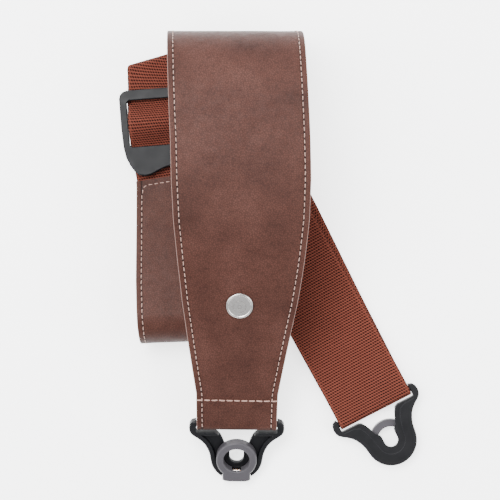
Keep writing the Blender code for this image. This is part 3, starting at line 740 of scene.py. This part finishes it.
def make_rivet(s):
    place = Matrix((s.across, s.along, s.out)).transposed().to_4x4()
    place.translation = s.at * MM
    nickel = metal_paint("satin_nickel", (0.45, 0.43, 0.41), 0.26)
    top = FACE[1]
    cap = [(0, top - 2.0), (2.0, top - 2.0), (2.0, top - 0.1), (RIVET_R - 0.5, top - 0.05),
           (RIVET_R - 0.1, top + 0.15), (RIVET_R, top + 0.55), (RIVET_R - 0.2, top + 1.0),
           (RIVET_R - 0.7, top + 1.3), (RIVET_R - 1.2, top + 1.32), (RIVET_R - 1.5, top + 1.12),
           (RIVET_R - 1.9, top + 1.14), (5.0, top + 1.36), (4.1, top + 1.45), (4.0, top + 1.28),
           (3.5, top + 1.28), (3.4, top + 1.5), (1.5, top + 1.6), (1.4, top + 1.42),
           (0.9, top + 1.42), (0.8, top + 1.62), (0, top + 1.64)]
    low = BACKING[0]
    back = [(0, low - 0.2), (4.6, low - 0.15), (5.4, low - 0.35), (5.5, low - 0.75),
            (5.0, low - 1.2), (3.4, low - 1.5), (2.6, low - 1.35), (0, low - 1.3)]
    for name, profile, node in (("rivet_cap_dome", cap, "rivet_cap"),
                                ("rivet_back_post", back, "rivet_back")):
        made = lathe(name, profile, 72, place, nickel)
        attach(made, "strap")
        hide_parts(node)


# ---------------------------------------------------------------- the webbing

def web_relief(run, side, from_edge, outer):
    """Ribs that show on the webbing's edges, and the webbing made slightly thinner all across its
    width.
    """
    rib = 0.06 * math.cos(2 * math.pi * run / WEB_ROW)
    return rib * (0.3 + 0.7 * math.exp(-from_edge / 1.2)) - 0.03


def web(name, stations, start, stop, paint, node, less=0.0, step=1.0):
    made = ribbon(name, fine(stations, start, stop, step), lambda run: WEB_HALF - less,
                  (-WEB_THICK / 2, WEB_THICK / 2), WEB_MARGINS, 12, web_relief, (paint,))
    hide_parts(*node)
    return made


def make_webbing(leather):
    rust = webbing_paint("rust_ribbed_webbing", (0.005, 0.0010, 0.0006), (0.052, 0.0122, 0.0078),
                         (0.125, 0.0330, 0.0210))
    up = turned(SLIDER_TURN)
    across = Vector((up.y, -up.x, 0))
    tail = leather[-1]
    sewn = tail.at - tail.along * TAIL_SEWN - tail.out * (WEB_THICK / 2)
    under = SLIDER_AT + Vector((0, 0, WEB_UNDER - 0.25))
    line = [sewn.lerp(sewn + tail.along * (TAIL_SEWN + 4.0), i / 4) for i in range(5)]
    line += [under - up * 21.5, under - up * 18.0]
    for i in range(-15, 16):
        y = HUMP_REACH * i / 15
        rise = (HUMP_HIGH - WEB_UNDER) * math.cos(math.pi * y / HUMP_REACH / 2) ** 2
        line.append(SLIDER_AT + up * y - across * HUMP_ASIDE + Vector((0, 0, WEB_UNDER + rise)))
    over = line_stations(line, tail.across, across)
    lower = web("webbing_over_bar", over, 0, over[-1].run, rust, ("webbing_tail", "webbing_hump"),
                0.3)
    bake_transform(lower)
    run = webbing_run_path()
    begin = HUMP_REACH - RUN_STARTS
    joins = web("webbing_to_fold", run, begin, FOLD_JOINS, rust, (), 0.3)
    first, last = between(run, begin), between(run, FOLD_JOINS)
    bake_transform(joins)
    long = web("webbing_long_run", run, FOLD_JOINS, run[-1].run, rust, ("webbing_run",))
    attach(long, "strap")
    loop, tail = bar_loop(rust)
    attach(loop, "slider")
    first, last = tail.at, run[-1].at
    line = [first.lerp(last, i / 6) for i in range(7)]
    link = web("webbing_under_fold", line_stations(line, across, run[-1].across), 0,
               (last - first).length, rust, (), 0.4)
    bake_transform(link)


def bar_loop(rust):
    """The sewn loop that holds the webbing's end round the slider's centre bar."""
    radius = SLIDER_BAR_R + 0.25 + WEB_THICK / 2
    tail_level = WEB_UNDER - WEB_PITCH
    dip = math.degrees(math.atan2(-tail_level - radius, WRAP_DIPS))
    legs = [leg(2.0), leg(2.0, bend=dip), leg(5.0), leg(2.0, bend=-dip),
            arc(radius, WRAP_BEND)]
    found = walk((0, 0, 0), SLIDER_TURN, 180, legs)
    start = next(s for s in found if abs(s.run - WRAP_TAIL) < 1e-6)
    found = moved(found, SLIDER_AT - (start.at - start.out * radius))
    made = web("webbing_bar_wrap", found, 0, found[-1].run, rust, ("webbing_bar_loop",), 0.6)
    return made, found[0]


# ---------------------------------------------------------------- carried-over CAD nodes

def paint_nodes():
    # the second colour of each plastic is its painted edge highlight
    black = plastic_paint("black_moulded_plastic", (0.0032, 0.0032, 0.0040), (0.020, 0.020, 0.024))
    grey = plastic_paint("grey_moulded_plastic", (0.046, 0.043, 0.048), (0.10, 0.095, 0.105), 0.4)
    slider = plastic_paint("slider_moulded_plastic", (0.0034, 0.0035, 0.0043),
                           (0.020, 0.020, 0.024))
    steel = metal_paint("drawn_steel", (0.52, 0.52, 0.52), 0.3)
    bronze = metal_paint("drawn_bronze", (0.50, 0.24, 0.13), 0.32)
    for node, paint in (("slider_frame", slider), ("clip_1_frame", black), ("clip_2_frame", black),
                        ("clip_1_lock_ring", grey), ("clip_2_lock_ring", grey),
                        ("clip_1_pin", steel), ("clip_2_pin", steel),
                        ("clip_1_spring", bronze), ("clip_2_spring", bronze)):
        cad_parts[node].material_slots[0].material = paint


# ---------------------------------------------------------------- studio

def aim(made, target):
    made.rotation_euler = (Vector(target) - made.location).to_track_quat("-Z", "Y").to_euler()


def light(name, at, target, size, power, tint=(1, 1, 1)):
    data = bpy.data.lights.new(name, "AREA")
    data.shape, data.size, data.size_y = "RECTANGLE", size[0], size[1]
    data.energy, data.color = power, tint
    made = bpy.data.objects.new(name, data)
    made.location = at
    bpy.context.scene.collection.objects.link(made)
    aim(made, target)


def make_studio():
    mesh = bmesh.new()
    bmesh.ops.create_grid(mesh, x_segments=8, y_segments=8, size=2.5)
    floor = finish("studio_floor", mesh, floor_paint())
    floor.location = (0, 0, -0.0002)
    light("key", (-0.35, 0.45, 1.25), (0, 0, 0), (0.9, 0.6), 38)
    light("fill", (0.95, -0.15, 0.95), (0, 0, 0), (0.9, 0.9), 17)
    light("back", (0.05, 1.15, 0.42), (0, 0.1, 0.05), (1.2, 0.5), 11)
    light("side", (-0.9, -0.1, 1.0), (0, 0.0, 0), (0.8, 0.8), 14)
    world = bpy.data.worlds.new("studio")
    world.use_nodes = True
    world.node_tree.nodes["Background"].inputs[0].default_value = (0.95, 0.97, 1.0, 1)
    world.node_tree.nodes["Background"].inputs[1].default_value = 1.25
    bpy.context.scene.world = world
    data = bpy.data.cameras.new("camera")
    data.lens, data.sensor_width = 101.2, 36.0
    camera = bpy.data.objects.new("camera", data)
    camera.location = (-0.01230, 0.00554, 0.9001)
    bpy.context.scene.collection.objects.link(camera)
    bpy.context.scene.camera = camera


leather = make_leather()
make_webbing(leather)
paint_nodes()
make_studio()
